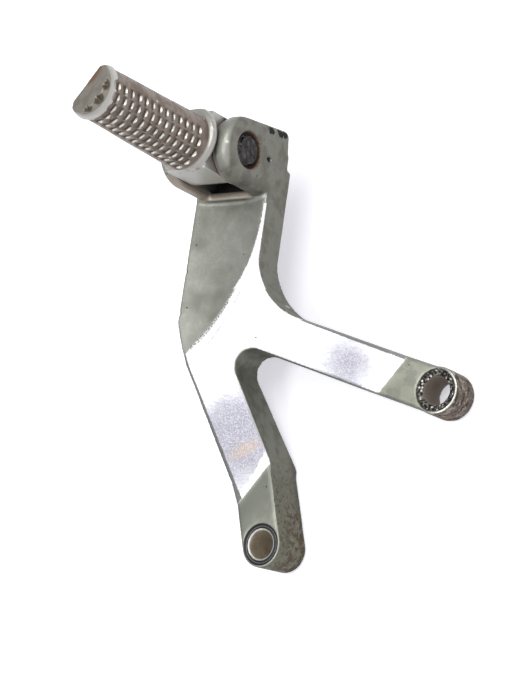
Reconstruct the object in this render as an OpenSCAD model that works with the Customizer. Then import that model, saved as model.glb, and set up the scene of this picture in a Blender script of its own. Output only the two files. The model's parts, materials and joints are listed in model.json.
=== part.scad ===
// Folding passenger footrest on its cast aluminium hanger.
// Seen from outside, as it hangs on the motorcycle: X runs along the machine, Y points inboard, Z up.
// The origin is the upper bolt hole, on the face that meets the frame.

/* [Mounting bosses] */
// How far forward of the upper bolt the side bolt lies
side_bolt_run = 54.4; // [45:0.2:70]
// How far below the upper bolt the side bolt lies
side_bolt_drop = 51.2; // [46:0.2:56]
// Bolt hole through each boss
bolt_hole_d = 9; // [6:0.1:10]
// Outer diameter of the upper boss
upper_boss_d = 14.6; // [13:0.1:20]
// Outer diameter of the side boss
side_boss_d = 15; // [13:0.1:20]
// Height of the upper boss above the frame
upper_boss_h = 15; // [12:0.1:18]
// Height of the side boss above the frame
side_boss_h = 11.2; // [8:0.1:12]
// Diameter of the machined seat round each bolt hole
seat_d = 13.2; // [11:0.1:15]
// Depth of the machined seat
seat_depth = 0.5; // [0.2:0.1:1]

/* [Arms] */
// Width of the upper arm
upper_arm_w = 15.6; // [12:0.1:19]
// Width of the side arm
side_arm_w = 14.2; // [12:0.1:19]
// Run of the upper arm's knee from the upper bolt, towards the neck
knee_run = 7.9; // [5:0.1:10]
// Drop of the knee below the upper bolt
knee_drop = 24; // [20:0.5:28]
// Inside radius of the crotch between the arms
crotch_r = 6; // [3:0.5:8]
// Inside radius between the neck and the side arm
armpit_r = 19.4; // [8:0.2:24]

/* [Folds of the plate] */
// Angle of the fold lines from the horizontal
fold_angle = 52.8; // [45:0.2:60]
// Slope of the middle plate between the bosses and the neck
plate_slope = 16; // [13:0.5:19]
// Distance of the upper boss's fold line from the upper bolt
upper_fold = 16.3; // [14:0.1:19]
// Height of the neck's outer face above the frame
neck_h = 27.9; // [25:0.1:31]
// Thickness of the neck
neck_t = 11.4; // [9:0.1:13]

/* [Neck and clevis] */
// Distance from the upper bolt to the near side of the neck
neck_side = 7.2; // [4:0.1:10]
// Width of the neck, over both ears of the clevis
neck_w = 30; // [28:0.2:34]
// Thickness of each ear
ear_t = 6; // [5:0.1:6.6]
// Radius of the ears about the pin
ear_r = 11.1; // [10:0.1:12]
// Rounding of the ears' outer rim
ear_round = 3; // [1:0.1:4]
// Rake of the ears' lower edge
ear_rake = 8; // [4:0.5:12]
// Drop of the pin below the upper bolt
pin_drop = 122.9; // [116:0.1:130]
// Height of the pin above the frame
pin_h = 40; // [39:0.1:42]
// Depth of the dish in the neck's face
dish_depth = 1.4; // [0.6:0.1:2]
// Width of the lip between the dish and the slot
lip_w = 2.9; // [2:0.1:4]
// Height of the lip above the neck's face
lip_h = 0.5; // [0.2:0.1:0.8]
// How far the slot's floor lies under the neck's face
slot_depth = 4; // [3:0.1:5]

/* [Footpeg] */
// Reach of the peg from the pin to the crown of its end
peg_reach = 61.5; // [45:0.5:80]
// Height of the bar's axis above the pin
bar_lift = 0.7; // [0:0.1:1]
// Direction the tread faces, from straight up towards the front
tread_tilt = 50; // [0:1:60]
// Radius of the bar at its root
bar_root_r = 9.9; // [9:0.1:10.4]
// Radius of the bar at its end
bar_end_r = 8.5; // [8:0.1:9.4]
// Distance of the flat underside from the bar's axis
flat_drop = 3.2; // [3:0.1:8]
// Distance of the broken edges beside the flat from the bar's axis
edge_drop = 7.3; // [6.5:0.1:9]
// Radius of the root flange
flange_r = 11.5; // [10.4:0.1:12]
// Half height of the root flange
flange_half = 10.2; // [9.8:0.1:11]
// Thickness of the root flange
flange_t = 2.8; // [2:0.1:4]
// Width of the bevelled band behind the end block
band_w = 2; // [1.5:0.1:4]
// Height of the band over the bar's end
band_rise = 0.7; // [0.4:0.1:1]
// Length of the end block beyond the band
block_len = 2.7; // [1:0.1:4]
// Slant of the end face
end_slant = 14.5; // [0:0.5:25]
// Radius of the tongue round the pin
tongue_r = 9.7; // [8.6:0.1:10.2]

/* [Grip scales] */
// Rows of scales on each side of the tread's middle row
side_rows = 2; // [1:1:3]
// Angle between neighbouring rows
row_angle = 23; // [20:0.5:28]
// Spacing of the scales along a row
scale_pitch = 3.1; // [2.8:0.05:4]
// Radius of the round cutter that leaves a scale
scale_r = 1.75; // [1.4:0.05:1.9]
// Depth of each cut at its steep end
scale_depth = 1.1; // [0.6:0.05:1.4]
// Slant of each cut's floor
scale_slant = 20; // [14:1:30]
// Shift of each row along the peg from the row before it
row_shift = 0.6; // [0:0.05:1.5]
// Notches round the crown of the end
notch_count = 3; // [1:1:4]
// Angle between the notches
notch_angle = 38; // [30:1:45]
// Distance of a notch's tip from the bar's axis
notch_tip_r = 4.6; // [4:0.1:7]

/* [Pin, clip and detent] */
// Diameter of the pin's shank
pin_d = 8; // [6:0.1:8.4]
// Diameter of the pin's head
head_d = 10.2; // [9.6:0.1:10.8]
// Thickness of the pin's head
head_t = 2.2; // [1.6:0.1:2.6]
// Diameter of the recess for the head
recess_d = 12; // [11.4:0.1:13]
// Depth of the recess for the head
recess_depth = 2.6; // [2:0.1:3]
// Outer diameter of the retaining clip
clip_d = 15; // [12:0.5:16]
// Thickness of the retaining clip
clip_t = 1.2; // [0.8:0.1:1.6]
// Diameter of the clip's groove in the pin
groove_d = 6; // [5:0.1:6]
// Thickness of the detent plate
plate_t = 1; // [0.8:0.1:1.4]
// Diameter of the detent ball
ball_d = 4; // [3:0.1:4.2]
// Depth of the spring's hole in the tongue
spring_hole_depth = 10; // [8:0.5:12]
// Wire of the detent spring
spring_wire = 0.5; // [0.4:0.05:0.7]
// Turns of the detent spring
spring_turns = 6; // [4:1:7]

/* [Clearances] */
// Gap between the tongue and what it swings past
swing_gap = 0.3; // [0.2:0.05:0.5]
// Radial play of the pin in the tongue
pivot_play = 0.08; // [0.02:0.01:0.1]
// Radial play of the pin in the ears and the detent plate
ear_play = 0.05; // [0.02:0.01:0.1]
// Gap between the heel and its stop at rest
stop_gap = 0.25; // [0.2:0.05:0.4]
// Gap beside a part that lies in a groove or against a plate
side_gap = 0.05; // [0.03:0.01:0.1]

/* [Hidden] */
$fn = 96;
hull_fn = 32;
reach = 400;

upper_bolt = [0, 0];
side_bolt = [-side_bolt_run, -side_bolt_drop];
knee = [knee_run, -knee_drop];
neck_far = neck_side + neck_w;
neck_mid = neck_side + neck_w / 2;
pin_z = -pin_drop;
neck_back = neck_h - neck_t;

// The plate's section is drawn against g, the distance across the fold lines.
fold_turn = 90 + fold_angle;
slope = tan(plate_slope);
neck_fold = -upper_fold - (neck_h - upper_boss_h) / slope;
side_fold = -upper_fold + (upper_boss_h - side_boss_h) / slope;
arm_split = 37;
fold_ledge = 0.3;
round_proud = 0.02;

// Directions of the arms, from the neck outwards
upper_root = [neck_side + neck_w * 0.64, -62.3];
upper_dir = atan2(knee[1] - upper_root[1], knee[0] - upper_root[0]);
side_root = [neck_mid, -73.3];
side_dir = atan2(side_bolt[1] - side_root[1], side_bolt[0] - side_root[0]);
neck_top = side_root[1] + side_arm_w / 2;

slot_x0 = neck_side + ear_t;
slot_x1 = neck_far - ear_t;
slot_floor = neck_h - slot_depth;
rim_z = pin_z + ear_r + 0.7;
lip_z = rim_z - lip_w;
neck_end = pin_z - ear_r / 2;
ear_back = neck_back + 2.2;
ear_step_z = pin_z + 1.5;

tongue_x0 = slot_x0 + plate_t + swing_gap;
tongue_x1 = slot_x1 - swing_gap;
peg_x = (tongue_x0 + tongue_x1) / 2;
flange_back = ear_r + swing_gap;
flange_front = flange_back + flange_t;
band_front = peg_reach - block_len;
band_back = band_front - band_w;
heel = pin_h - slot_floor - stop_gap;
tread = 90 + tread_tilt;
grip_len = band_back - flange_front;
taper = atan((bar_root_r - bar_end_r) / grip_len);
scales_per_row = floor((grip_len - 1) / scale_pitch);
crown_r = bar_end_r - 0.8;

seat_x = neck_side + recess_depth;
clip_x = neck_far + side_gap;
pin_end = clip_x + clip_t + side_gap + 1.8;
ball_r = pin_d / 2 + (tongue_r - pin_d / 2) / 2;
ball_x = slot_x0 + plate_t + side_gap + ball_d / 2;
spring_x0 = ball_x + ball_d / 2 + side_gap;
spring_x1 = tongue_x0 + spring_hole_depth - side_gap;
spring_r = ball_d / 2 - spring_wire / 2;

// Point at a distance from p, in direction a
function along(p, a, d) = [p[0] + d * cos(a), p[1] + d * sin(a)];

// Where the line from p in direction a meets the line from q in direction b
function meet(p, a, q, b) =
    let (t = ((q[0] - p[0]) * sin(b) - (q[1] - p[1]) * cos(b)) / sin(b - a))
    along(p, a, t);

// Draws a plan shape in X and Z and gives it a height above the frame
module raise(h) { rotate([90, 0, 0]) linear_extrude(h) children(); }

// Draws a side shape in Y and Z and extends it along X
module across(x0, x1) { translate([x0, 0, 0]) rotate([90, 0, 90]) linear_extrude(x1 - x0) children(); }

// A cylinder or turned piece along X, on the pin's axis
module on_pin(x) { translate([x, -pin_h, pin_z]) rotate([0, 90, 0]) children(); }

// A straight strip of an arm, between two points, a hair narrower than its round ends
module strip(p, q, w) {
    a = atan2(q[1] - p[1], q[0] - p[0]);
    half = w / 2 - round_proud;
    polygon([along(p, a + 90, half), along(q, a + 90, half), along(q, a - 90, half), along(p, a - 90, half)]);
}

// Fills an inside corner, whose sides leave it in directions a and b, to the radius r
module inside_corner(corner, a, b, r) {
    half = (b - a) / 2;
    middle = along(corner, a + half, r / sin(half));
    difference() {
        polygon([along(corner, a + half, -0.5), along(corner, a, r / tan(half)), middle,
                 along(corner, b, r / tan(half))]);
        translate(middle) circle(r + 3 * round_proud);
    }
}

// Plan of the neck and the upper arm
module upper_plan() {
    half = upper_arm_w / 2 - round_proud;
    polygon([[neck_side, neck_end], [neck_far, neck_end], [neck_far, upper_root[1] - 7.5],
             [neck_far - 1.2, upper_root[1] - 3], along(upper_root, upper_dir - 90, half),
             along(knee, upper_dir - 90, half), along(knee, upper_dir + 90, half),
             along(upper_root, upper_dir + 90, half), [neck_side, neck_top - 3]]);
    translate(knee) circle(d = upper_arm_w);
    strip(knee, upper_bolt, upper_boss_d);
    translate(upper_bolt) circle(d = upper_boss_d);
}

// Plan of the side arm, run into the neck
module side_plan() {
    strip(side_root, side_bolt, side_arm_w);
    translate(side_bolt) circle(d = side_boss_d);
    armpit = meet([neck_side, 0], -90, along(side_root, side_dir + 90, side_arm_w / 2), side_dir);
    inside_corner(armpit, side_dir, 270, armpit_r);
}

// The corner of the crotch, which both arms share
module crotch_plan() {
    crotch = meet(along(upper_root, upper_dir + 90, upper_arm_w / 2), upper_dir,
                  along(side_root, side_dir - 90, side_arm_w / 2), side_dir);
    inside_corner(crotch, upper_dir, side_dir < 0 ? side_dir + 360 : side_dir, crotch_r);
}

// Carries a section, drawn against g and the height, along the fold lines from h0 to h1
module along_folds(h0, h1) {
    rotate([0, -fold_turn, 0]) translate([0, 0, h0]) linear_extrude(h1 - h0) mirror([0, 1]) children();
}

// The folded plate: boss level, slope and neck level, front and back
module folded_plate() {
    along_folds(-reach, reach) polygon([
        [-reach, neck_back], [neck_fold, neck_back], [-upper_fold, 0], [reach, 0],
        [reach, upper_boss_h], [-upper_fold, upper_boss_h], [neck_fold, neck_h], [-reach, neck_h]]);
}

// What the side arm lacks: after a narrow ledge its slope runs on down to the lower boss
module side_arm_step() {
    along_folds(arm_split, reach) polygon([
        [fold_ledge - upper_fold, upper_boss_h], [side_fold, side_boss_h], [reach, side_boss_h],
        [reach, reach], [fold_ledge - upper_fold, reach]]);
}

// Half section of an ear: square inside, rounded on its outer rim
module ear_section() {
    square([ear_r, ear_t - ear_round]);
    square([ear_r - ear_round, ear_t]);
    translate([ear_r - ear_round, ear_t - ear_round]) circle(ear_round);
}

// The straight part of an ear, from the pin's plane back to the neck
module ear_flank(length) {
    linear_extrude(length) intersection() {
        ear_section();
        square([ear_r, ear_t]);
    }
}

// One ear with its inner face on the plane x = 0 and its outer face at x = ear_t
module ear() {
    translate([0, -pin_h, pin_z]) {
        rotate([0, 90, 0]) rotate_extrude() intersection() {
            ear_section();
            square([ear_r, ear_t]);
        }
        multmatrix([[0, 1, 0, 0], [0, 0, 1, 0], [1, 0, 0, 0]]) ear_flank(pin_h - ear_back);
        rotate([-ear_rake, 0, 0])
            multmatrix([[0, 1, 0, 0], [0, 0, 1, 0], [-1, 0, 0, 0]]) ear_flank(pin_h - ear_back);
    }
}

// The neck's dished face, in which the folded peg lies
module dish() {
    land = 1.6;
    span = neck_w - land;
    r = (span * span / 4 + dish_depth * dish_depth) / (2 * dish_depth);
    translate([neck_side + land + span / 2, -neck_h - r + dish_depth, rim_z]) cylinder(r = r, h = reach, $fn = 256);
}

module bracket() {
    color([0.72, 0.73, 0.70]) difference() {
        union() {
            difference() {
                intersection() {
                    raise(reach) { upper_plan(); side_plan(); crotch_plan(); }
                    folded_plate();
                }
                side_arm_step();
                dish();
            }
            across(slot_x0 - 1, slot_x1 + 1)
                polygon([[-neck_back - 1, rim_z], [-neck_h - lip_h, rim_z],
                         [-neck_h - lip_h, lip_z], [-neck_back - 1, lip_z]]);
            translate([slot_x1, 0, 0]) ear();
            translate([slot_x0, 0, 0]) mirror([1, 0, 0]) ear();
        }
        across(slot_x0, slot_x1)
            polygon([[-slot_floor, lip_z], [-reach, lip_z],
                     [-reach, pin_z - 40], [-slot_floor, pin_z - 40]]);
        across(-reach, reach)
            polygon([[1, ear_step_z], [-ear_back, ear_step_z - 2], [-ear_back, pin_z - 40], [1, pin_z - 40]]);
        for (side = [[upper_bolt, upper_boss_h], [side_bolt, side_boss_h]])
            translate([side[0][0], 0, side[0][1]]) rotate([90, 0, 0]) {
                translate([0, 0, -1]) cylinder(d = bolt_hole_d, h = reach);
                translate([0, 0, side[1] - seat_depth]) cylinder(d = seat_d, h = seat_depth + 1);
            }
        on_pin(0) cylinder(d = pin_d + 2 * ear_play, h = reach);
        on_pin(neck_side - 1) cylinder(d = recess_d, h = recess_depth + 1);
    }
}

// The turned bar of the peg, about its own axis, from the flange to the end block
module peg_bar() {
    rotate_extrude() polygon([
        [0, flange_back + 1], [bar_root_r, flange_back + 1], [bar_root_r, flange_front], [bar_end_r, band_back],
        [bar_end_r + band_rise, band_back], [bar_end_r + band_rise / 3, band_front], [bar_end_r, band_front],
        [crown_r, peg_reach], [0, peg_reach]]);
}

// The flange at the root, with flats above and below
module root_flange() {
    edge = flange_t / 2;
    intersection() {
        rotate_extrude() {
            translate([0, flange_back]) square([flange_r - edge, flange_t]);
            translate([flange_r - edge, flange_back + edge]) circle(edge, $fn = hull_fn);
        }
        translate([-reach, -flange_half, 0]) cube([2 * reach, 2 * flange_half, reach]);
    }
}

// The slant of the end face and the flat underside, cut from the bar
module end_and_underside() {
    rotate([0, 0, tread]) {
        translate([-reach - flat_drop, -reach / 2, flange_front - 1]) cube([reach, reach, reach]);
        for (a = [-50, 50]) rotate([0, 0, a])
            translate([-reach - edge_drop, -reach / 2, flange_front - 1]) cube([reach, reach, reach]);
        translate([crown_r, -reach / 2, peg_reach]) rotate([0, -end_slant, 0]) translate([-reach, 0, 0])
            cube([reach + 5, reach, reach]);
    }
}

// V cuts round the crown, falling to the band
module crown_notches() {
    fall = atan((block_len - 0.4) / (bar_end_r - notch_tip_r));
    for (i = [0:notch_count - 1])
        rotate([0, 0, tread + (i - (notch_count - 1) / 2) * notch_angle])
            translate([notch_tip_r, 0, peg_reach]) rotate([0, fall, 0]) rotate([45, 0, 0])
                cube([2 * bar_end_r, 10, 10]);
}

// One row of round cuts with slanting floors, steep towards the root
module scale_cuts(row) {
    for (i = [0:scales_per_row - 1]) {
        from_end = 1.6 + (row + side_rows) * row_shift + i * scale_pitch;
        z = band_back - from_end;
        r = bar_end_r + from_end * tan(taper) - scale_depth;
        if (z - scale_r > flange_front - 1.4)
            translate([r, 0, z]) rotate([0, 90 + scale_slant - taper, 0]) translate([-scale_r, 0, 0])
                cylinder(r = scale_r, h = 6, $fn = 24);
    }
}

module footpeg() {
    color([0.62, 0.59, 0.56]) difference() {
        union() {
            translate([peg_x, -pin_h, pin_z + bar_lift]) rotate([90, 0, 0]) difference() {
                peg_bar();
                end_and_underside();
                crown_notches();
                for (row = [-side_rows:side_rows]) rotate([0, 0, tread - row * row_angle]) scale_cuts(row);
            }
            translate([peg_x, -pin_h, pin_z]) rotate([90, 0, 0]) root_flange();
            on_pin(tongue_x0) cylinder(r = tongue_r, h = tongue_x1 - tongue_x0);
            across(tongue_x0, tongue_x1)
                polygon([[-pin_h, pin_z + tongue_r], [-pin_h - flange_back - 1, pin_z + tongue_r],
                         [-pin_h - flange_back - 1, pin_z - tongue_r], [-pin_h + heel, pin_z - tongue_r],
                         [-pin_h + heel, pin_z], [-pin_h, pin_z]]);
        }
        on_pin(0) cylinder(d = pin_d + 2 * pivot_play, h = reach);
        translate([tongue_x0 - 1, -pin_h - ball_r, pin_z]) rotate([0, 90, 0])
            cylinder(d = ball_d + 2 * side_gap, h = spring_hole_depth + 1);
    }
}

module pivot_pin() {
    dome = 0.7;
    color([0.20, 0.20, 0.22]) on_pin(seat_x) difference() {
        rotate_extrude() polygon([
            [0, -head_t], [head_d / 2 - dome, -head_t], [head_d / 2, -head_t + dome], [head_d / 2, 0],
            [pin_d / 2, 0], [pin_d / 2, clip_x - side_gap - seat_x], [groove_d / 2, clip_x - side_gap - seat_x],
            [groove_d / 2, clip_x + clip_t + side_gap - seat_x],
            [pin_d / 2, clip_x + clip_t + side_gap - seat_x],
            [pin_d / 2, pin_end - seat_x - dome], [pin_d / 2 - dome, pin_end - seat_x], [0, pin_end - seat_x]]);
    }
}

// A ring open on one side, with three inner lands that grip the groove
module retaining_clip() {
    inner = groove_d / 2 + side_gap;
    relief = pin_d / 2 + 0.8;
    color([0.10, 0.10, 0.11]) on_pin(clip_x) linear_extrude(clip_t) difference() {
        circle(d = clip_d);
        circle(inner);
        difference() {
            circle(relief);
            for (a = [0, 120, 240]) rotate(a + 180) translate([relief / 2, 0]) square([relief, 3.2], center = true);
        }
        translate([0, -inner]) square([clip_d, 2 * inner]);
    }
}

// A thin steel plate against the near ear, with a hole for each position of the ball
module detent_plate() {
    color([0.30, 0.24, 0.20]) difference() {
        union() {
            on_pin(slot_x0) cylinder(r = tongue_r + 0.8, h = plate_t);
            across(slot_x0, slot_x0 + plate_t)
                polygon([[-slot_floor, lip_z - swing_gap], [-neck_h - lip_h, lip_z - swing_gap],
                         [-pin_h, pin_z + tongue_r + 0.8], [-pin_h, pin_z - tongue_r + 1],
                         [-slot_floor, pin_z - tongue_r + 1]]);
        }
        on_pin(0) cylinder(d = pin_d + 2 * ear_play, h = reach);
        for (a = [0, 90])
            translate([slot_x0 - 1, -pin_h, pin_z]) rotate([-a, 0, 0]) translate([0, -ball_r, 0])
                rotate([0, 90, 0]) cylinder(d = ball_d * 0.6, h = plate_t + 2);
    }
}

module detent_ball() {
    color([0.75, 0.76, 0.78]) translate([ball_x, -pin_h - ball_r, pin_z]) sphere(d = ball_d);
}

// A round wire carried along a helix behind the ball
module detent_spring() {
    sides = 6;
    steps = 14 * spring_turns;
    rise = spring_x1 - spring_x0 - spring_wire;
    mean_r = spring_r - 0.1;
    lean = atan(rise / (spring_turns * 2 * PI * mean_r));
    rings = [for (i = [0:steps]) let (turn = 360 * spring_turns * i / steps)
        [for (s = [0:sides - 1]) let (a = 360 * s / sides, out = mean_r + spring_wire / 2 * cos(a),
                                      up = spring_wire / 2 * sin(a))
            [out * cos(turn) + up * sin(lean) * sin(turn), out * sin(turn) - up * sin(lean) * cos(turn),
             rise * i / steps + spring_wire / 2 + up * cos(lean)]]];
    faces = concat([[for (s = [sides - 1:-1:0]) s]],
        [for (i = [0:steps - 1], s = [0:sides - 1])
            [i * sides + s, i * sides + (s + 1) % sides, (i + 1) * sides + (s + 1) % sides, (i + 1) * sides + s]],
        [[for (s = [0:sides - 1]) steps * sides + s]]);
    color([0.55, 0.55, 0.57]) translate([spring_x0, -pin_h - ball_r, pin_z]) rotate([0, 90, 0])
        polyhedron([for (r = rings, p = r) p], faces);
}

bracket();
footpeg();
pivot_pin();
retaining_clip();
detent_plate();
detent_ball();
detent_spring();
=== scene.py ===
# %% [markdown]
# # A folding passenger footrest, worn and grimy, on a white sheet
# The object is a cast aluminium hanger: two bolt bosses, two arms that meet in a V, a neck that steps
# outwards, and a clevis that carries a short footpeg with a scaled tread.
# The solid model already has every size, so it is loaded first and never moved. What is left for this
# script is what a solid model doesn't say: rounded casting edges, small scars, dirt, and light.

# %% Load the solid model and keep its size
import json
import math

import bmesh
import bpy
import numpy as np
from mathutils import Matrix, Vector


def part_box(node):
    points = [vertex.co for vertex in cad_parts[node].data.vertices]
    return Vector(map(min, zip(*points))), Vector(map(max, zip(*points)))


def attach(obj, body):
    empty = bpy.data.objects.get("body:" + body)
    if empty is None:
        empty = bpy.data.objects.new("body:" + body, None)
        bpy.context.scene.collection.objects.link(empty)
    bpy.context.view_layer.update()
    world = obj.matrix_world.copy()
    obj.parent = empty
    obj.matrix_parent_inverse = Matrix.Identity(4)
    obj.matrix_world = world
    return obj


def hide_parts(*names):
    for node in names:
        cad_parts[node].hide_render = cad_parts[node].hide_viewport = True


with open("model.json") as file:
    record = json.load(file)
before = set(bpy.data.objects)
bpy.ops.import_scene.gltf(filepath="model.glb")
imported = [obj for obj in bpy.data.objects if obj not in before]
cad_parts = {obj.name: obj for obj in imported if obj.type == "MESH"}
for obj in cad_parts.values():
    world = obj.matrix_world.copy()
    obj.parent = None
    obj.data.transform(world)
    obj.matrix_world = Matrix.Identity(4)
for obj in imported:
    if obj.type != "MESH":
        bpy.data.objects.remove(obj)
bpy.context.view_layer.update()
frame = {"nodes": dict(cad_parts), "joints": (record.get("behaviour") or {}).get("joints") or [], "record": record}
print("solids:", sorted(frame["nodes"]))

# %% [markdown]
# ## Measures taken from the solids
# Dirt gathers round holes and stops at folds, so the finishes need to know where those are. The upper
# bolt hole is the origin, the hinge and the side bolt are in the record, and the near side of the neck
# lies a little beyond the pin's head, which is sunk into the ear.

# %% Places that the finishes refer to
MM = 0.001
pin = Vector(frame["joints"][0]["pos_m"]) / MM
mounts = {mount["name"]: mount for mount in frame["record"]["mounts"]}
side_bolt = Vector(mounts["side_bolt"]["pos_m"]) / MM
hole_axis, pin_axis = (0, 1, 0), (1, 0, 0)
head_sink = 0.4
neck_near_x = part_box("pivot_pin")[0].x / MM - head_sink
print("pin at", [round(c, 1) for c in pin], "mm; near side of the neck at x =", round(neck_near_x, 1))

# %% [markdown]
# The plate is folded along parallel lines that run aslant. Two slanting coordinates describe it: one
# across the folds and one along them. The neck's face, the slope and the two boss faces then need only
# their heights, and each fold lies where two of those surfaces meet.

# %% Folds of the plate
neck_face, upper_boss, side_boss = 27.9, 15.0, 11.2
fold_turn = math.radians(52.8)
across_folds = Vector((-math.sin(fold_turn), 0, math.cos(fold_turn)))
along_folds = Vector((-math.cos(fold_turn), 0, -math.sin(fold_turn)))
plate_slope = math.tan(math.radians(16))
boss_fold = -16.3
neck_fold = boss_fold - (neck_face - upper_boss) / plate_slope
side_fold = boss_fold + (upper_boss - side_boss) / plate_slope
print("folds at", round(neck_fold, 1), boss_fold, round(side_fold, 1), "mm across")

# %% [markdown]
# ## The camera
# The photograph was taken from in front and a little above, upside-down: the clevis is at the top of
# the picture. The camera's place and its three directions were found by matching the two bolt holes,
# the fold lines and the clevis, and are written here as real millimetres in the object's own frame.

# %% Camera at the photograph's angle
camera_place = Vector((-284.1, -395.8, 32.5)) * MM
picture_right = Vector((-0.800, 0.583, -0.139)).normalized()
picture_up = Vector((-0.006, -0.239, -0.971))
focal_px, picture_w_px, sensor_mm = 1500, 525, 36

look = picture_up.cross(picture_right).normalized()
picture_up = picture_right.cross(look)
camera_data = bpy.data.cameras.new("camera")
camera_data.sensor_fit = "HORIZONTAL"
camera_data.sensor_width = sensor_mm
camera_data.lens = focal_px / picture_w_px * sensor_mm
camera_data.clip_end = 10
camera = bpy.data.objects.new("camera", camera_data)
camera_turn = Matrix((picture_right, picture_up, -look)).transposed()
camera.matrix_world = Matrix.Translation(camera_place) @ camera_turn.to_4x4()
bpy.context.scene.collection.objects.link(camera)
bpy.context.scene.camera = camera
print("lens", round(camera_data.lens, 1), "mm, looking along", [round(c, 2) for c in look])

# %% [markdown]
# ## Tools for finishes
# A worn casting has no flat colour anywhere: it is a stack of thin layers, each with its own border.
# So a finish here is made the way a painter would weather a model. It starts as bare metal, and each
# coat is laid on through a mask: near a hole, beyond a fold, in a crevice, or wherever a noise is high.
# Colours are written as they look on a screen and turned into the linear values that a shader takes.

# %% Colours and nodes
def tone(red, green, blue):
    """An sRGB colour, 0 to 255, as the linear value that a shader takes."""
    srgb = np.array([red, green, blue]) / 255
    linear = np.where(srgb < 0.04045, srgb / 12.92, ((srgb + 0.055) / 1.055) ** 2.4)
    return (*linear.tolist(), 1.0)


class Nodes:
    """A tree of shader nodes in which each node is made and linked by one call."""

    def __init__(self, tree):
        self.nodes, self.links = tree.nodes, tree.links

    def node(self, kind, *values, **settings):
        """A shader node whose first sockets take the values, linked where a value is a socket."""
        made = self.nodes.new("ShaderNode" + kind)
        for name, setting in settings.items():
            setattr(made, name, setting)
        for socket, value in zip(made.inputs, values):
            self.join(socket, value)
        return made

    def join(self, socket, value):
        if isinstance(value, bpy.types.NodeSocket):
            self.links.new(value, socket)
        elif value is not None:
            socket.default_value = value

    def calc(self, operation, *numbers):
        return self.node("Math", *numbers, operation=operation).outputs[0]


print("a middle grey of 128 is", round(tone(128, 128, 128)[0], 3), "in linear light")

# %% [markdown]
# Every mask is a number between 0 and 1 worked out from the place on the object. The object's own
# coordinates are turned into millimetres first, so that masks can be written as real sizes.

# %% Masks in millimetres
class Masks(Nodes):
    """Places on the object as numbers between 0 and 1."""

    def __init__(self, tree):
        super().__init__(tree)
        place = self.node("TexCoord")
        scaled = self.node("VectorMath", place.outputs["Object"], operation="SCALE")
        scaled.inputs["Scale"].default_value = 1 / MM
        self.mm = scaled.outputs[0]
        self.x, self.y, self.z = self.node("SeparateXYZ", self.mm).outputs
        self.normal = self.node("SeparateXYZ", place.outputs["Normal"]).outputs

    def every(self, *masks):
        """Where all of the masks hold: their product."""
        total = masks[0]
        for mask in masks[1:]:
            total = self.calc("MULTIPLY", total, mask)
        return total

    def either(self, a, b):
        return self.calc("MAXIMUM", a, b)

    def beyond(self, mask):
        """Where the mask doesn't hold."""
        return self.calc("SUBTRACT", 1.0, mask)

    def ramp(self, value, low, high):
        """0 at low, 1 at high, smooth between; low may be the larger of the two."""
        ends = (0.0, 1.0) if low < high else (1.0, 0.0)
        values = (value, min(low, high), max(low, high), *ends)
        return self.node("MapRange", *values, interpolation_type="SMOOTHSTEP").outputs[0]

    def band(self, value, low, high, soft):
        """1 between low and high, with borders as wide as soft."""
        return self.every(self.ramp(value, low - soft, low), self.ramp(value, high + soft, high))

    def measure(self, direction, start=(0, 0, 0)):
        """How far a point lies from start, along a direction."""
        offset = self.node("VectorMath", self.mm, tuple(start), operation="SUBTRACT").outputs[0]
        return self.node("VectorMath", offset, tuple(direction), operation="DOT_PRODUCT").outputs["Value"]

    def from_axis(self, point, axis):
        """Distance from the line through a point: the length of offset x axis."""
        offset = self.node("VectorMath", self.mm, tuple(point), operation="SUBTRACT").outputs[0]
        cross = self.node("VectorMath", offset, tuple(axis), operation="CROSS_PRODUCT").outputs[0]
        return self.node("VectorMath", cross, operation="LENGTH").outputs["Value"]

    def from_point(self, point):
        return self.node("VectorMath", self.mm, tuple(point), operation="DISTANCE").outputs["Value"]

    def plus(self, value, noise, amount):
        """A distance made ragged by a noise: value + amount * noise."""
        return self.calc("ADD", value, self.calc("MULTIPLY", noise, amount))
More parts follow.
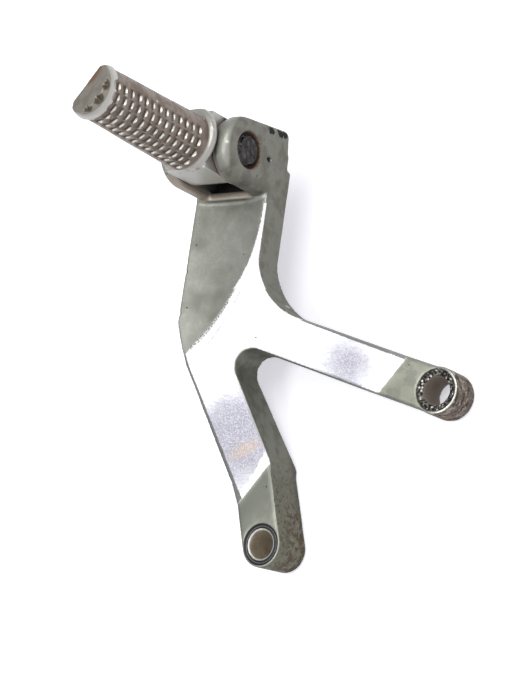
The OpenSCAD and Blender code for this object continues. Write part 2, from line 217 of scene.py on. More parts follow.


# %% [markdown]
# Noise gives clouds and patches, a Voronoi pattern gives single specks, and the mesh itself says where
# it is hollow, where dirt and painted shade go, and where it is sharp, where a boot polishes it and a
# highlight is painted. The finish then keeps a running colour, roughness, metal share and relief, and
# each coat mixes itself over them.

# %% A stack of coats
class Finish(Masks):
    """Bare metal with coats laid over it, each through a mask between 0 and 1."""

    def __init__(self, name, colour, rough, metal):
        self.material = bpy.data.materials.new(name)
        self.material.use_nodes = True
        super().__init__(self.material.node_tree)
        self.colour, self.rough, self.metal, self.bumps = tone(*colour), rough, metal, None

    def cloud(self, size, detail=3.0, stretch=(1, 1, 1)):
        """Noise between 0 and 1 with patches of about the given size."""
        mapped = self.node("VectorMath", self.mm, tuple(stretch), operation="MULTIPLY").outputs[0]
        noise = self.node("TexNoise")
        for name, value in (("Vector", mapped), ("Scale", 1 / size), ("Detail", detail), ("Roughness", 0.6)):
            self.join(noise.inputs[name], value)
        return noise.outputs[0]

    def specks(self, spacing, radius, share):
        """Small dots: one in each cell of a Voronoi pattern, kept in a share of the cells."""
        cell = self.node("TexVoronoi")
        self.join(cell.inputs["Vector"], self.mm)
        cell.inputs["Scale"].default_value = 1 / spacing
        chance = self.node("SeparateColor", cell.outputs["Color"]).outputs[0]
        kept = self.calc("LESS_THAN", chance, share)
        return self.every(self.ramp(cell.outputs["Distance"], radius / spacing, 0.5 * radius / spacing), kept)

    def crevice(self, reach, shallow, deep):
        """Where the surface is closed in by its surroundings, within reach in millimetres."""
        shade = self.node("AmbientOcclusion", samples=8)
        shade.inputs["Distance"].default_value = reach * MM
        return self.ramp(shade.outputs["AO"], shallow, deep)

    def crest(self, low, high):
        """Where the mesh is sharply convex."""
        return self.ramp(self.node("NewGeometry").outputs["Pointiness"], low, high)

    def mix(self, mask, below, above):
        """below where the mask is 0 and above where it is 1, for colours or for numbers."""
        kind, first, result = ("RGBA", 6, 2) if isinstance(above, tuple) else ("FLOAT", 2, 0)
        made = self.node("Mix", data_type=kind)
        for number, value in ((0, mask), (first, below), (first + 1, above)):
            self.join(made.inputs[number], value)
        return made.outputs[result]

    def coat(self, mask, colour, rough=None, metal=None, strength=1.0):
        """Lays one more layer over what is there."""
        if strength < 1:
            mask = self.calc("MULTIPLY", mask, strength)
        self.colour = self.mix(mask, self.colour, tone(*colour))
        if rough is not None:
            self.rough = self.mix(mask, self.rough, rough)
        if metal is not None:
            self.metal = self.mix(mask, self.metal, metal)

    def relief(self, height, depth):
        """Adds fine relief, depth in millimetres between height 0 and height 1."""
        bump = self.node("Bump")
        for name, value in (("Distance", depth * MM), ("Height", height), ("Normal", self.bumps)):
            self.join(bump.inputs[name], value)
        self.bumps = bump.outputs[0]

    def done(self):
        shader = self.nodes["Principled BSDF"]
        for name, value in (("Base Color", self.colour), ("Roughness", self.rough),
                            ("Metallic", self.metal), ("Normal", self.bumps)):
            self.join(shader.inputs[name], value)
        print("finish", self.material.name, "with", len(self.nodes), "nodes")
        return self.material


# %% [markdown]
# ## The casting: bare metal
# Sand-cast aluminium is greenish grey and cloudy where nothing rubs it, so noises of three sizes are
# laid over each other. The walls of the arms were never rubbed: they are duller and dark in patches,
# and they are painted a darker grey as shade, as are faces turned towards +X, away from the lamps.

# %% Bare casting
cast = Finish("cast_alloy", (158, 160, 151), rough=0.40, metal=0.72)
broad, middle, fine = cast.cloud(14, 2), cast.cloud(4.5, 4), cast.cloud(0.7, 3)
across, along = cast.measure(across_folds), cast.measure(along_folds)
height = cast.calc("MULTIPLY", cast.y, -1.0)
facing = cast.calc("ABSOLUTE", cast.normal[1])
front = cast.ramp(cast.normal[1], -0.72, -0.88)
walls = cast.ramp(facing, 0.72, 0.45)

cast.coat(cast.ramp(fine, 0.48, 0.70), (182, 184, 178), strength=0.35)
cast.coat(cast.ramp(middle, 0.46, 0.66), (176, 178, 171), strength=0.6)
cast.coat(cast.ramp(broad, 0.50, 0.72), (133, 135, 125), strength=0.8)
# Painted shade: the walls, turned away from the lamps, are painted darker; their higher roughness is real.
cast.coat(walls, (122, 122, 112), rough=0.52, strength=0.9)
cast.coat(cast.every(walls, cast.ramp(middle, 0.44, 0.66)), (96, 95, 84), rough=0.6, strength=0.6)
# Painted shade: faces turned towards +X, away from the lamps, are painted darker.
cast.coat(cast.ramp(cast.normal[0], 0.3, 0.8), (92, 92, 88), strength=0.7)
print("bare casting:", len(cast.nodes), "nodes")

# %% [markdown]
# ## The casting: what boots rub
# The sloping plate between the neck and the bosses is rubbed bright, and so is a strip along the neck's
# near edge that widens downwards. A point is on the slope where its height fits the slope's own, and
# the polish ends at each boss's fold, along a border that a fine noise makes uneven. The strip and the
# rounded edge of the fold are then painted near-white as a highlight.

# %% The rubbed slope and strip
arm_split = 37
strip_top, strip_end, strip_least, strip_most, strip_growth = -109.0, -84.0, 0.9, 6.0, 2.5

slope_height = cast.calc("MULTIPLY_ADD", across, -plate_slope, upper_boss + plate_slope * boss_fold)
over_slope = cast.calc("SUBTRACT", height, slope_height)
on_side_arm = cast.calc("GREATER_THAN", along, arm_split)
wander = cast.calc("SUBTRACT", fine, 0.5)
uneven_across = cast.calc("ADD", across, wander)
last_fold = cast.calc("MULTIPLY_ADD", on_side_arm, side_fold - boss_fold, boss_fold)
past_last_fold = cast.calc("SUBTRACT", uneven_across, last_fold)
plate = cast.every(
    cast.ramp(over_slope, -1.4, -0.7), cast.ramp(uneven_across, neck_fold - 0.3, neck_fold + 0.3),
    cast.ramp(past_last_fold, 0.5, -0.3), front)

down_strip = cast.calc("MAXIMUM", cast.calc("SUBTRACT", cast.z, strip_top), 0.0)
down_strip = cast.calc("POWER", cast.calc("DIVIDE", down_strip, strip_end - strip_top), strip_growth)
strip_w = cast.calc("MULTIPLY_ADD", down_strip, strip_most, strip_least)
past_strip = cast.calc("SUBTRACT", cast.calc("SUBTRACT", cast.x, neck_near_x), strip_w)
strip = cast.every(
    cast.ramp(cast.calc("ADD", past_strip, wander), 0.4, -0.3), cast.ramp(height, 24.5, 25.5),
    cast.band(cast.z, strip_top, strip_end + 3, 0.8), cast.ramp(facing, 0.25, 0.5))

polished = cast.either(plate, strip)
cast.coat(polished, (216, 217, 221), rough=0.34, metal=0.80)
scratches = cast.every(cast.ramp(cast.cloud(0.9, 2, (0.25, 1, 1.6)), 0.52, 0.66), plate)
cast.coat(scratches, (184, 185, 192), rough=0.44, strength=0.6)
# Painted highlight: the strip and the rounded edge of the fold are painted near-white and hardly metallic.
rounded_fold_highlight = cast.every(plate, cast.ramp(over_slope, -0.04, -0.12))
cast.coat(cast.either(strip, rounded_fold_highlight), (252, 252, 252), rough=0.55, metal=0.05)
print("rubbed parts:", len(cast.nodes), "nodes")

# %% [markdown]
# Once on each arm the polish is painted darker, a lavender grey with pale specks, and made rougher:
# painted shade where the plate's reflection is dimmer. The lower arm's patch is crossed by a warm streak,
# which is longer than wide: a distance measured in two directions, each divided by its own reach. Just
# before each boss's fold the metal is painted near-white as a highlight.

# %% Painted dim patches, warm streak and painted highlights at the folds
DIM_REFLECTION_PATCHES = (((12, -19, -33), 17), ((-24, -15, -58.5), 9.5))
streak_place, streak_half_l, streak_half_w = (9.5, -17.5, -29.5), 6.5, 2.6
glint_growth, glint_start, glint_on_side_arm = 0.16, -0.6, 5.0

for centre, reach in DIM_REFLECTION_PATCHES:
    ragged_reach = cast.plus(cast.plus(cast.from_point(centre), middle, 6.0), fine, 5.0)
    # Painted shade: a dimmer reflection, painted lavender grey; the pale specks in it are grain.
    dim_reflection = cast.every(plate, cast.ramp(ragged_reach, reach + 11.0, reach - 4.0))
    cast.coat(dim_reflection, (146, 145, 157), rough=0.50, strength=0.9)
    pale_specks = cast.every(dim_reflection, cast.ramp(cast.cloud(0.45, 2), 0.45, 0.62))
    cast.coat(pale_specks, (206, 206, 214), rough=0.4, strength=0.45)

streak_far = []
for direction, half in ((picture_right * 0.86 + picture_up * 0.5, streak_half_l),
                        (picture_up * 0.86 - picture_right * 0.5, streak_half_w)):
    share = cast.calc("DIVIDE", cast.measure(direction, streak_place), half)
    streak_far.append(cast.calc("POWER", share, 2.0))
streak = cast.every(plate, cast.ramp(cast.calc("ADD", *streak_far), 1.2, 0.0))
cast.coat(streak, (196, 172, 146), strength=0.40)

glint_w = cast.calc("MULTIPLY_ADD", along, glint_growth, glint_start)
glint_w = cast.mix(on_side_arm, glint_w, glint_on_side_arm)
into_glint = cast.calc("ADD", past_last_fold, cast.plus(glint_w, middle, 1.5))
# Painted highlight: a near-white band just before each boss's fold.
cast.coat(cast.every(plate, cast.ramp(into_glint, 0.0, 1.2)), (250, 250, 250), rough=0.24)
print("patches and glints:", len(cast.nodes), "nodes")

# %% [markdown]
# ## The casting: dirt
# Road dirt bakes on where water runs off: brown and rough round the end of the side boss, olive along
# the walls near the upper boss, and soaked dark at its far end. Each dirt is a mask for its place, a
# first thin coat over it, and then darker and paler noises, because dirt is never even.

# %% Road dirt
around_upper, around_side = cast.from_axis((0, 0, 0), hole_axis), cast.from_axis(side_bolt, hole_axis)

past_side = cast.ramp(cast.measure(-along_folds * 0.25 + Vector((-1, 0, 0.25)), side_bolt), -0.5, 3.5)
brown = cast.every(past_side, cast.ramp(around_side, 9.5, 8.5), cast.ramp(facing, 0.85, 0.6))
cast.coat(brown, (112, 100, 88), rough=0.75, metal=0.3)
cast.coat(cast.every(brown, cast.ramp(cast.cloud(1.6, 5), 0.50, 0.60)), (150, 142, 130), rough=0.6)
crusts = cast.ramp(cast.cloud(2.6, 5, (1, 1.5, 1)), 0.53, 0.60)
cast.coat(cast.every(brown, crusts), (70, 60, 50), rough=0.85)

olive = cast.every(walls, cast.ramp(around_upper, 34, 12), cast.ramp(cast.normal[0], 0.3, -0.2))
cast.coat(olive, (112, 110, 94), rough=0.66, metal=0.4, strength=0.8)
cast.coat(cast.every(olive, cast.ramp(cast.cloud(1.1, 4), 0.52, 0.66)), (62, 58, 48), rough=0.8, strength=0.8)
cast.coat(cast.every(olive, cast.ramp(cast.cloud(0.7, 3), 0.56, 0.64)), (138, 136, 122), strength=0.5)

# The backs, which face the frame, are painted a darker grey with brownish patches.
back = cast.ramp(cast.normal[1], 0.3, 0.7)
cast.coat(back, (126, 125, 117), rough=0.6, strength=0.7)
cast.coat(cast.every(back, cast.ramp(broad, 0.42, 0.6)), (98, 90, 78), rough=0.75, metal=0.4, strength=0.7)

soaked = cast.every(
    walls, cast.ramp(around_upper, 16, 10), cast.ramp(cast.y, -15, -6), cast.ramp(cast.normal[0], 0.4, -0.1))
cast.coat(cast.every(soaked, cast.ramp(cast.cloud(2.2, 5), 0.40, 0.56)), (84, 70, 54), rough=0.8, metal=0.2)
cast.coat(cast.every(soaked, cast.ramp(cast.cloud(0.8, 4), 0.54, 0.62)), (150, 144, 130), strength=0.6)
print("road dirt:", len(cast.nodes), "nodes")

# %% [markdown]
# ## The casting: bosses
# Beyond the fold the boss faces keep the greenish, cloudy skin of the casting, which is darkest near
# the upper boss's fold. A washer pressed a dark groove and a bright ring round the upper hole. Round
# the side hole grit was ground in, so that ring is black with pale specks, inside a thin arc on its
# outer half that is painted bright as a highlight.

# %% Boss faces, nicks and washer marks
NICKS = ((37.2, -27.9, -90.5, 0.7), (37.0, -27.6, -87.0, 0.6), (37.0, -27.7, -72.5, 0.7),
         (35.5, -27.0, -62.0, 0.8))

boss_faces = cast.every(front, cast.beyond(plate), cast.ramp(across, boss_fold - 1, boss_fold + 2))
cast.coat(boss_faces, (160, 161, 144), strength=0.5)
near_fold = cast.every(boss_faces, cast.beyond(on_side_arm), cast.ramp(across, 2, boss_fold + 3))
cast.coat(near_fold, (112, 115, 107), strength=0.75)
cast.coat(cast.every(boss_faces, cast.ramp(middle, 0.46, 0.60)), (124, 127, 118), strength=0.6)
for nick in NICKS:
    cast.coat(cast.ramp(cast.from_point(nick[:3]), 1.1, 0.6), (70, 68, 60), rough=0.7)

upper_seat, side_seat = cast.ramp(height, 13.4, 14.0), cast.ramp(height, 9.6, 10.2)
cast.coat(cast.every(upper_seat, cast.band(around_upper, 5.15, 6.6, 0.2)), (54, 54, 56), rough=0.45)
groove_line = cast.every(upper_seat, cast.band(around_upper, 5.8, 5.9, 0.12))
cast.coat(groove_line, (128, 128, 126), rough=0.4, strength=0.7)
cast.coat(cast.every(upper_seat, cast.band(around_upper, 4.55, 4.95, 0.15)), (196, 196, 190), rough=0.32)

grit = cast.every(side_seat, cast.band(around_side, 4.6, 6.6, 0.4))
cast.coat(grit, (120, 118, 112), rough=0.6)
cast.coat(cast.every(grit, cast.ramp(cast.cloud(0.9, 3), 0.44, 0.52)), (34, 32, 32), rough=0.7)
cast.coat(cast.every(grit, cast.specks(0.9, 0.42, 0.4)), (222, 220, 214))
cast.coat(cast.every(side_seat, cast.band(around_side, 6.3, 6.7, 0.15)), (60, 58, 56), strength=0.7)
outer_half = cast.ramp(cast.measure((-1, 0, 0.3), side_bolt), 0.0, 4.0)
# Painted highlight: a thin bright arc on the outer half of the side seat's rim.
painted_rim_highlight = cast.every(side_seat, cast.band(around_side, 6.75, 7.1, 0.15), outer_half)
cast.coat(painted_rim_highlight, (206, 205, 200), rough=0.3)
print("bosses:", len(cast.nodes), "nodes")

# %% [markdown]
# ## The casting: the clevis
# The slot between the ears, under the tongue, is painted near-black as shade, the lip under the tongue
# is painted a pale tan highlight, and rust from the pin has been washed out round its recess.

# %% Slot, lip and ear
slot_half = 8.9
slot = cast.every(
    cast.band(cast.x, pin.x - slot_half, pin.x + slot_half, 0.2), cast.ramp(cast.y, -31.5, -29.5),
    cast.ramp(cast.z, pin.z + 9.2, pin.z + 8.6))
# Painted shade: the slot between the ears is painted near-black.
cast.coat(slot, (40, 38, 37), rough=0.5, metal=0.3)
lip = cast.every(
    cast.ramp(height, 28.0, 28.2), cast.ramp(cast.z, pin.z + 8.0, pin.z + 9.0),
    cast.ramp(across, -60, -64), cast.ramp(cast.x, pin.x - 9.4, pin.x - 8.6))
# Painted highlight: the lip under the tongue is painted a pale tan.
cast.coat(lip, (186, 170, 156), strength=0.6)
ear_foot = cast.every(
    cast.ramp(cast.x, pin.x - 8.8, pin.x - 9.6), cast.ramp(height, 28.2, 30),
    cast.ramp(cast.z, pin.z + 7, pin.z + 10))
cast.coat(cast.every(ear_foot, cast.ramp(middle, 0.40, 0.60)), (104, 102, 96), strength=0.7)

ear_side = cast.ramp(cast.x, neck_near_x + 3.2, neck_near_x + 2.4)
around_pin = cast.plus(cast.from_axis(pin, pin_axis), middle, 1.2)
rust = cast.every(ear_side, cast.ramp(around_pin, 7.2, 6.6))
cast.coat(rust, (122, 100, 84), rough=0.7, metal=0.3)
cast.coat(cast.every(rust, cast.ramp(fine, 0.5, 0.6)), (84, 62, 50), rough=0.8, metal=0.1)
print("clevis:", len(cast.nodes), "nodes")

# %% [markdown]
# ## The casting: what lies over everything
# Pores are left by the sand, and more of them show along the neck's fold, where the border of the
# polish is. Hollows are darkened with dirt and painted shade, and edges are paled by wear and a painted
# highlight. The two arms have a dark outline on the sides that turn away from the light, the ear keeps
# three flakes of black paint, and the holes are tan inside.

# %% Pores, edges, outlines, flakes and holes
ARM_EDGES = (((30.5, -26.6, -53.7), (-0.895, 0, -0.446), 60.0),
             ((-9.7, -20.5, -71.5), (0.293, 0, 0.956), -7.0))
PAINT_FLAKES = (((7.2, -22.8, -134.6), 1.5), ((7.2, -25.2, -134.2), 1.7), ((7.2, -30.1, -133.5), 1.5))
bore_r = 4.58

pores = cast.specks(3.4, 0.34, 0.22)
cast.coat(pores, (62, 60, 54), rough=0.8)
border = cast.every(polished, cast.beyond(polished))
fold_pores = cast.every(
    cast.ramp(cast.cloud(0.45, 2), 0.48, 0.60), cast.ramp(border, 0.02, 0.2), cast.ramp(across, -55, -57))
cast.coat(fold_pores, (84, 84, 76), rough=0.7)
# Dirt and painted shade: hollows within 2.2 mm are darkened to a brown.
cast.coat(cast.crevice(2.2, 0.72, 0.35), (70, 64, 55), rough=0.8, metal=0.3, strength=0.8)
# Wear and a painted highlight: sharp edges are painted paler.
cast.coat(cast.crest(0.53, 0.60), (222, 222, 216), rough=0.3, strength=0.6)

for start, inward, last_x in ARM_EDGES:
    from_edge = cast.plus(cast.measure(inward, start), fine, 0.5)
    outline = cast.every(plate, cast.band(from_edge, -1.6, 0.95, 0.3), cast.ramp(cast.x, last_x, last_x - 2))
    cast.coat(outline, (96, 95, 93), rough=0.5, metal=0.3, strength=0.9)

outer_wall = cast.ramp(cast.x, neck_near_x + 1.2, neck_near_x + 0.6)
ragged = cast.calc("MULTIPLY", cast.calc("SUBTRACT", cast.cloud(1.5, 4), 0.5), 2.6)
for place, size in PAINT_FLAKES:
    from_flake = cast.calc("ADD", cast.from_point(place), ragged)
    flake = cast.every(outer_wall, cast.ramp(from_flake, size + 0.15, size - 0.15))
    cast.coat(flake, (22, 20, 20), rough=0.9, metal=0.0)

for around, colour in ((around_upper, (184, 172, 152)), (around_side, (150, 138, 128))):
    bore = cast.ramp(around, bore_r + 0.04, bore_r - 0.04)
    cast.coat(bore, colour, rough=0.62, metal=0.1)
    cast.coat(cast.every(bore, cast.ramp(middle, 0.45, 0.6)), (142, 130, 114), strength=0.6)

cast.relief(cast.cloud(0.4, 2), 0.09)
cast.relief(cast.calc("MULTIPLY", pores, -1.0), 0.15)
cast.relief(cast.every(cast.either(brown, olive), cast.cloud(0.8, 4)), 0.25)
finishes = {"cast_alloy": cast.done()}

# %% [markdown]
# ## The tread's finish
# The peg is cast from the same alloy, but mud has stained it brown. The hollows of the scales are
# darkened with mud and painted shade, the crests are paled by boots and a painted highlight, the side
# of each scale that faces the peg's end is painted near-white as a highlight, and the flange is
# polished by boots.

# %% Grimy tread alloy
flange_front, tread_end = pin.y - 14.6, pin.y - 56.3

tread = Finish("tread_alloy", (136, 124, 113), rough=0.36, metal=0.70)
mud, grain = tread.cloud(4, 4), tread.cloud(0.5, 3)
tread.coat(tread.ramp(mud, 0.42, 0.62), (112, 98, 86), rough=0.5, strength=0.8)
past_flange = tread.ramp(tread.y, flange_front + 0.6, flange_front - 0.4)
tread.coat(tread.beyond(past_flange), (190, 190, 184), rough=0.30, strength=0.8)
on_scales = tread.band(tread.y, tread_end, flange_front, 0.2)
# Mud and painted shade: the scales' hollows are darkened in two steps, by how closed in they are.
tread.coat(tread.every(on_scales, tread.crevice(0.9, 1.0, 0.80)), (74, 61, 50), rough=0.5, metal=0.4)
tread.coat(tread.every(on_scales, tread.crevice(1.3, 0.97, 0.70)), (36, 27, 22), rough=0.6, metal=0.2)
# Wear and a painted highlight: the crests are painted paler.
tread.coat(tread.crest(0.52, 0.57), (214, 204, 194), rough=0.26, metal=0.85, strength=0.75)
# Painted highlight: the steep side of each scale that faces the peg's end is painted near-white.
end_facing_highlight = tread.every(on_scales, tread.ramp(tread.normal[1], -0.50, -0.74))
tread.coat(end_facing_highlight, (252, 247, 240), rough=0.24, metal=0.8)
print("scales:", len(tread.nodes), "nodes")

# %% [markdown]
# The end of the peg is a paler bevelled band and then a block with three notches in its crown. The
# notches are painted dark inside as shade, one corner of the block is stained brown, and the tongue,
# which sits between the ears, is painted dark as shade.

# %% The peg's end
bar_lift, notch_r, end_y = 0.7, 6.4, pin.y - 61
NOTCH_DEGREES = (102, 140, 178)
stained_corner = (23.7, pin.y - 58.5, -128.2)

at_end = tread.ramp(tread.y, tread_end + 0.1, tread_end - 0.5)
tread.coat(at_end, (158, 154, 144), rough=0.45, strength=0.85)
tread.coat(tread.every(at_end, tread.ramp(mud, 0.46, 0.62)), (128, 122, 110), rough=0.5, strength=0.6)
band_bevel = tread.every(
    tread.band(tread.y, pin.y - 59.2, pin.y - 57.0, 0.2), tread.ramp(tread.normal[1], -0.85, -0.6))
tread.coat(band_bevel, (196, 194, 187), rough=0.3, strength=0.9)
# Painted shade: the hollows of the end block, within 1.6 mm, are painted near-black.
tread.coat(tread.every(at_end, tread.crevice(1.6, 0.96, 0.66)), (46, 38, 32), rough=0.7)
for degrees in NOTCH_DEGREES:
    angle = math.radians(degrees)
    notch = (pin.x + notch_r * math.cos(angle), end_y, pin.z + bar_lift + notch_r * math.sin(angle))
    # Painted shade: the sides of each notch are painted dark.
    notch_painted_shade = tread.every(
        tread.ramp(tread.from_point(notch), 2.3, 1.7), tread.ramp(tread.normal[1], -0.94, -0.84))
    tread.coat(tread.every(at_end, notch_painted_shade), (84, 75, 64), rough=0.6, strength=0.9)
from_stain = tread.plus(tread.from_point(stained_corner), mud, 5.0)
stain = tread.every(at_end, tread.ramp(from_stain, 8.4, 5.4))
tread.coat(stain, (104, 70, 46), rough=0.7, metal=0.2, strength=0.9)

tread.coat(tread.specks(2.6, 0.3, 0.25), (60, 50, 42), rough=0.8)
# Painted shade: the tongue, between the ears, is painted near-black.
tongue = tread.every(tread.ramp(tread.y, pin.y - 9, pin.y - 5), tread.ramp(tread.z, pin.z + 3, pin.z))
tread.coat(tongue, (52, 46, 42), rough=0.6)
# Dirt and painted shade: wherever the peg is closed in within 3 mm it is darkened.
tread.coat(tread.crevice(3.0, 0.55, 0.2), (44, 38, 34), rough=0.85, metal=0.2)
tread.relief(tread.cloud(0.3, 2), 0.05)
tread.relief(grain, 0.06)
finishes["tread_alloy"] = tread.done()

# %% [markdown]
# ## Steel parts
# The pin's head was blackened and is oily, and hammering left it lobed. The thin plate beside the
# tongue rusts, the clip is black, and the ball and spring inside the tongue are as they left the
# factory, but for a film of grease.

# %% One recipe for the steel parts
def steel(name, colour, rough, metal, stain, share, grain=0.04, lobes=0.0):
    """Plain steel, a stain over a share of it, and fine marks from rolling or turning."""
    f = Finish(name, colour, rough, metal)
    patches, marks = f.cloud(2.4, 4), f.cloud(0.4, 3)
    paler, palest = (tuple(min(255, c + more) for c in colour) for more in (40, 80))
    f.coat(f.ramp(patches, 0.72 - share, 0.80 - share), stain, rough=0.75, metal=0.25)
    f.coat(f.ramp(marks, 0.62, 0.72), paler, strength=0.4)
    # Wear and a painted highlight: sharp edges are painted the palest.
    f.coat(f.crest(0.54, 0.62), palest, rough=0.3, strength=0.6)
    f.relief(f.cloud(3.2, 1), lobes)
    f.relief(patches, grain * 6)
    f.relief(marks, grain)
    finishes[name] = f.done()


steel("dark_steel", (60, 59, 60), 0.16, 0.95, stain=(44, 34, 28), share=0.2, grain=0.02, lobes=2.2)
steel("black_spring_steel", (44, 44, 46), 0.38, 0.7, stain=(70, 52, 42), share=0.15)
steel("rusty_steel", (88, 78, 70), 0.55, 0.6, stain=(96, 62, 42), share=0.35, grain=0.08)
steel("hard_steel", (190, 191, 194), 0.18, 0.95, stain=(150, 140, 120), share=0.1, grain=0.01)
steel("spring_wire", (140, 140, 144), 0.3, 0.9, stain=(120, 100, 80), share=0.1, grain=0.01)

# %% [markdown]
# ## Rounded castings
# No edge of a casting is sharp: sand can't hold a sharp corner, and wear rounds what is left. The solid
# has the true planes and holes but sharp edges, so its skin is remade here as an even net of small
# faces, each vertex is eased towards its neighbours, and the waviness, lips and nicks are moved into
# the same net. Easing was chosen over a bevel because arms, folds and bosses meet at every angle.

# %% Helpers for working on a whole mesh at once
def points_of(mesh):
    flat = np.empty(len(mesh.vertices) * 3, dtype=np.float32)
    mesh.vertices.foreach_get("co", flat)
    return flat.reshape(-1, 3).astype(float)


def net_of(mesh):
    edges = np.empty(len(mesh.edges) * 2, dtype=np.int32)
    mesh.edges.foreach_get("vertices", edges)
    return edges.reshape(-1, 2)


def eased(points, edges, rounds, hold):
    """Each round, a point goes a share (1 - hold) / 2 of the way to the mean of its neighbours."""
    count = np.bincount(edges.ravel(), minlength=len(points))[:, None]
    share = ((1 - hold) / 2)[:, None]
    for _ in range(rounds):
        total = np.stack([np.bincount(edges[:, 0], points[edges[:, 1], k], len(points))
                          + np.bincount(edges[:, 1], points[edges[:, 0], k], len(points))
                          for k in range(3)], axis=1)
        points = points + share * (total / count - points)
    return points


def from_line(points, place, axis):
    """Distance of every point from the line through place along a unit axis."""
    return np.linalg.norm(np.cross(points - np.array(place), np.array(axis)), axis=1)


def bell(distance, width):
    """1 in the middle, falling smoothly to nothing: exp(-(d / w)^2)."""
    return np.exp(-(distance / width) ** 2)


# %% [markdown]
# The net comes from the Remesh modifier, whose result is kept as the mesh. Flat places need far fewer
# faces than edges do, so the finished net is thinned there. The new skin stands for its solid and rides
# on the same body, and the solid itself isn't touched: a copy of its mesh is merged and remade.

# %% The skin of a node
MOST_TRIANGLES = 190000
merge_distance = 0.002


def remade(piece, kind, **settings):
    """Runs one modifier on the piece and keeps its result as the piece's mesh."""
    modifier = piece.modifiers.new(kind.lower(), kind)
    for name, value in settings.items():
        setattr(modifier, name, value)
    evaluated = piece.evaluated_get(bpy.context.evaluated_depsgraph_get())
    mesh = bpy.data.meshes.new_from_object(evaluated)
    piece.modifiers.clear()
    piece.data = mesh


def skin(node, body, slot, voxel, rounds, cut, hold, shape):
    """The node as an even net that is cut, eased where it isn't held, and given its small forms."""
    mesh = frame["nodes"][node].data.copy()
    merge = bmesh.new()
    merge.from_mesh(mesh)
    bmesh.ops.remove_doubles(merge, verts=merge.verts, dist=merge_distance * MM)
    merge.to_mesh(mesh)
    merge.free()
    piece = bpy.data.objects.new(node + "_skin", mesh)
    bpy.context.scene.collection.objects.link(piece)
    remade(piece, "REMESH", mode="VOXEL", voxel_size=voxel * MM)
    points = cut(points_of(piece.data) / MM)
    points = shape(eased(points, net_of(piece.data), rounds, hold(points)))
    piece.data.vertices.foreach_set("co", (points * MM).ravel().astype(np.float32))
    piece.data.update()
    triangles = 2 * len(piece.data.polygons)
    if triangles > MOST_TRIANGLES:
        remade(piece, "DECIMATE", ratio=MOST_TRIANGLES / triangles)
    piece.data.polygons.foreach_set("use_smooth", [True] * len(piece.data.polygons))
    piece.data.materials.clear()
    piece.data.materials.append(finishes[slot])
    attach(piece, body)
    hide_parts(node)
    print(piece.name, "had", triangles, "triangles and keeps", len(piece.data.polygons), "faces")


# %% [markdown]
# The hanger's own small forms: the strip that boots wore into the neck's near edge, the lip and groove
# that a washer pressed round the upper hole, the nicks that the neck's far edge took in falls, and the
# faint waviness of a sand mould. Machined seats and the pin's recess are held back from the easing,
# because a cutter leaves crisp edges.

# %% The hanger's skin
strip_slope = 0.27
seat_reach, recess_reach, crisp = 7.0, 6.0, 0.85
inside_neck = np.array((22.0, -22.0, -75.0))


def worn_strip(points):
    """Lowers the neck's near edge to a plane that falls 0.27 mm for each mm, within the strip's width."""
    x, y, z = points.T
    share = np.clip(z - strip_top, 0, None) / (strip_end - strip_top)
    width = np.where(z > strip_top, strip_least + strip_most * share**strip_growth, 0)
    ceiling = neck_face - strip_slope * np.clip(width - (x - neck_near_x), 0, None)
    g = across_folds.x * x + across_folds.z * z
    ceiling = np.maximum(ceiling, upper_boss + plate_slope * (boss_fold - g))
    in_reach = (z > strip_top) & (z < strip_end + 3) & (y < -20)
    return np.stack([x, np.where(in_reach, np.maximum(y, -ceiling), y), z], axis=1)


def hold_seats(points):
    """A bell round each hole and round the pin, in which the easing is held back."""
    seats = np.maximum(bell(from_line(points, (0, 0, 0), hole_axis), seat_reach),
                       bell(from_line(points, side_bolt, hole_axis), seat_reach))
    return crisp * np.maximum(seats, bell(from_line(points, pin, pin_axis), recess_reach))


def shape_hanger(points):
    """Adds to each point: seat rings (in Y), nicks (towards the casting), and low waves under 0.06 mm."""
    x, y, z = points.T
    from_hole = from_line(points, (0, 0, 0), hole_axis)
    ring = 0.35 * bell(from_hole - 4.95, 0.38) - 0.30 * bell(from_hole - 5.9, 0.45)
    y = y - np.where((y < -13.8) & (from_hole < 6.9), ring, 0)
    moved = np.stack([x, y, z], axis=1)
    for nick_x, nick_y, nick_z, size in NICKS:
        place = np.array((nick_x, nick_y, nick_z))
        towards = (inside_neck - place) / np.linalg.norm(inside_neck - place)
        dent = 0.55 * size * bell(np.linalg.norm(moved - place, axis=1), size)
        moved = moved + dent[:, None] * towards
    wave = 0.05 * np.sin(x / 2.9 + 1.3 * np.sin(z / 4.1)) * np.sin(z / 3.3 + 0.7 * np.sin(x / 5.3))
    moved[:, 1] += np.where((moved[:, 1] < -1) & (from_hole > 7.5), wave, 0)
    return moved


skin("bracket", "hanger", "cast_alloy", voxel=0.42, rounds=7,
     cut=worn_strip, hold=hold_seats, shape=shape_hanger)

# %% [markdown]
# The peg's scales were cut crisp and have been trodden on for years, so a few rounds of easing on a
# finer net give them their worn crests. The tongue inside the clevis keeps its size.

# %% The peg's skin
def uncut(points):
    return points


def hold_tongue(points):
    return np.where(points[:, 1] > pin.y - 11, 0.6, 0.0)


def shape_peg(points):
    """Presses the crests flat, by up to 0.1 mm in a slow pattern, as uneven wear does."""
    x, y, z = points.T
    outward = points - np.array((pin.x, pin.y, pin.z + bar_lift))
    outward[:, 1] = 0
    wear = 0.05 * (1 + np.sin(y / 3.7) * np.sin((x + z) / 2.9)) * (y < pin.y - 15)
    return points - outward / np.linalg.norm(outward, axis=1)[:, None] * wear[:, None]


skin("footpeg", "peg", "tread_alloy", voxel=0.30, rounds=3,
     cut=uncut, hold=hold_tongue, shape=shape_peg)

# %% [markdown]
# ## The steel parts keep their solids
# The pin, clip, plate, ball and spring are turned, stamped or wound to size, so their solids are
# already right. Only their material slots are given the new finishes.

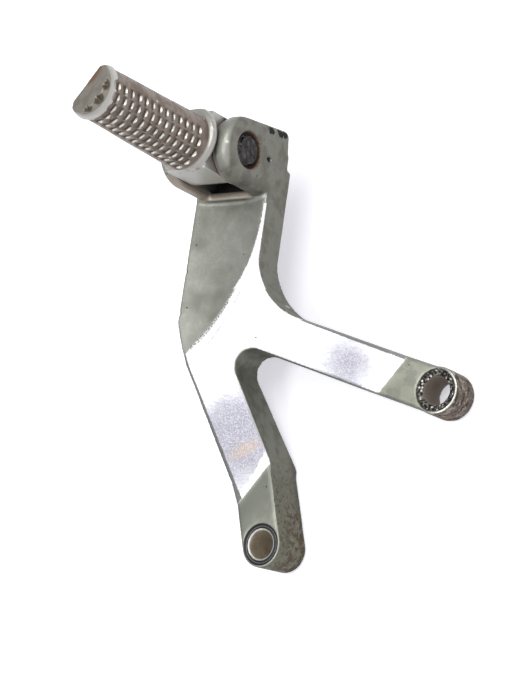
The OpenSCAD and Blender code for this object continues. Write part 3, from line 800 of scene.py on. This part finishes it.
# %% Finishes for the solids that stay
for row in frame["record"]["subparts"]:
    kept = frame["nodes"][row["node"]]
    if kept.hide_render:
        continue
    kept.data.materials.clear()
    kept.data.materials.append(finishes[row["material_slot"]])
    print(row["node"], "keeps its solid, in", row["material_slot"])

# %% [markdown]
# ## The white sheet
# The hanger lay on white paper, on the backs of its two bosses, so the sheet is the plane that meets
# the machine's frame, and takes the shadow. It can be looked through from behind, and rays that start
# close to it pass through it, so that the backs of the bosses are lit when they are seen from behind.

# %% Sheet under the object
half_sheet, sheet_y, close_ray = 2.0, 0.2 * MM, 4 * MM
paper_glow = 0.42

corners = [(a * half_sheet, sheet_y, b * half_sheet) for a, b in ((-1, -1), (1, -1), (1, 1), (-1, 1))]
sheet_mesh = bpy.data.meshes.new("sheet")
sheet_mesh.from_pydata(corners, [], [(0, 1, 2, 3)])
sheet = bpy.data.objects.new("sheet", sheet_mesh)
bpy.context.scene.collection.objects.link(sheet)

paper = bpy.data.materials.new("paper")
paper.use_nodes = True
on_paper = Nodes(paper.node_tree)
white = on_paper.nodes["Principled BSDF"]
for name, value in (("Base Color", tone(247, 247, 251)), ("Roughness", 0.9), ("Specular IOR Level", 0.1),
                    ("Emission Color", (0.93, 0.93, 1.0, 1.0))):
    white.inputs[name].default_value = value
ray = on_paper.node("LightPath").outputs
glow = on_paper.calc("MULTIPLY", ray["Is Camera Ray"], paper_glow)
on_paper.join(white.inputs["Emission Strength"], glow)
from_behind = on_paper.node("NewGeometry").outputs["Backfacing"]
close = on_paper.calc("LESS_THAN", ray["Ray Length"], close_ray)
clear = on_paper.calc("MAXIMUM", from_behind, close)
see_through = on_paper.node("BsdfTransparent").outputs[0]
surface = on_paper.node("MixShader", clear, white.outputs[0], see_through).outputs[0]
on_paper.join(on_paper.nodes["Material Output"].inputs["Surface"], surface)
sheet_mesh.materials.append(paper)
print("sheet", sheet_y / MM, "mm behind the bosses, facing", tuple(sheet_mesh.polygons[0].normal))

# %% [markdown]
# ## Light
# Two soft boxes and a pale sky. The first stands where the sloping plate mirrors it towards the
# camera, which is what makes that plate white in the photograph. The second is above and to the left
# of the picture, and throws the soft shadow.

# %% Soft boxes
lit_point, middle_of_plate = Vector((5, -20, -65)) * MM, Vector((3, -20, -55)) * MM


def soft_box(name, direction, distance, size, level):
    """A square lamp whose energy, level * pi^2 * distance^2, adds level to a white surface facing it."""
    lamp = bpy.data.lights.new(name, "AREA")
    lamp.shape = "SQUARE"
    lamp.size = size
    lamp.energy = level * math.pi * math.pi * distance**2
    lamp.color = (1.0, 0.99, 0.97)
    holder = bpy.data.objects.new(name, lamp)
    holder.location = lit_point + direction * distance
    holder.rotation_mode = "QUATERNION"
    holder.rotation_quaternion = direction.to_track_quat("Z", "Y")
    bpy.context.scene.collection.objects.link(holder)
    print(name, "stands towards", [round(c, 2) for c in direction])


plate_normal = Vector((across_folds.x * plate_slope, -1, across_folds.z * plate_slope)).normalized()
from_object = (camera_place - middle_of_plate).normalized()
mirrored = 2 * plate_normal.dot(from_object) * plate_normal - from_object
from_upper_left = (-look - picture_right * 0.4 + picture_up * 0.8).normalized()
soft_box("mirrored_box", mirrored, distance=0.8, size=0.22, level=0.26)
soft_box("shadow_box", from_upper_left, distance=0.9, size=0.45, level=0.30)

# %% [markdown]
# The sky fills the rest. It is brighter on the camera's side than behind the object, so that the metal
# has something to mirror that changes from place to place, and where it is seen directly it is white.

# %% Sky
sky = bpy.data.worlds.new("sky")
bpy.context.scene.world = sky
sky.use_nodes = True
darkest, brightest = 0.35, 0.85

in_sky = Nodes(sky.node_tree)
toward = in_sky.node("TexCoord").outputs["Generated"]
camera_side = in_sky.node("VectorMath", toward, -look, operation="DOT_PRODUCT").outputs["Value"]
sky_level = in_sky.node("MapRange", camera_side, -0.6, 0.9, darkest, brightest).outputs[0]
seen_directly = in_sky.node("LightPath").outputs["Is Camera Ray"]
background = in_sky.nodes["Background"]
in_sky.join(background.inputs["Strength"], in_sky.calc("MAXIMUM", seen_directly, sky_level))
background.inputs["Color"].default_value = (0.97, 0.975, 1.0, 1.0)
bpy.context.scene.view_settings.view_transform = "Standard"
print("sky from", darkest, "behind the object to", brightest, "behind the camera")
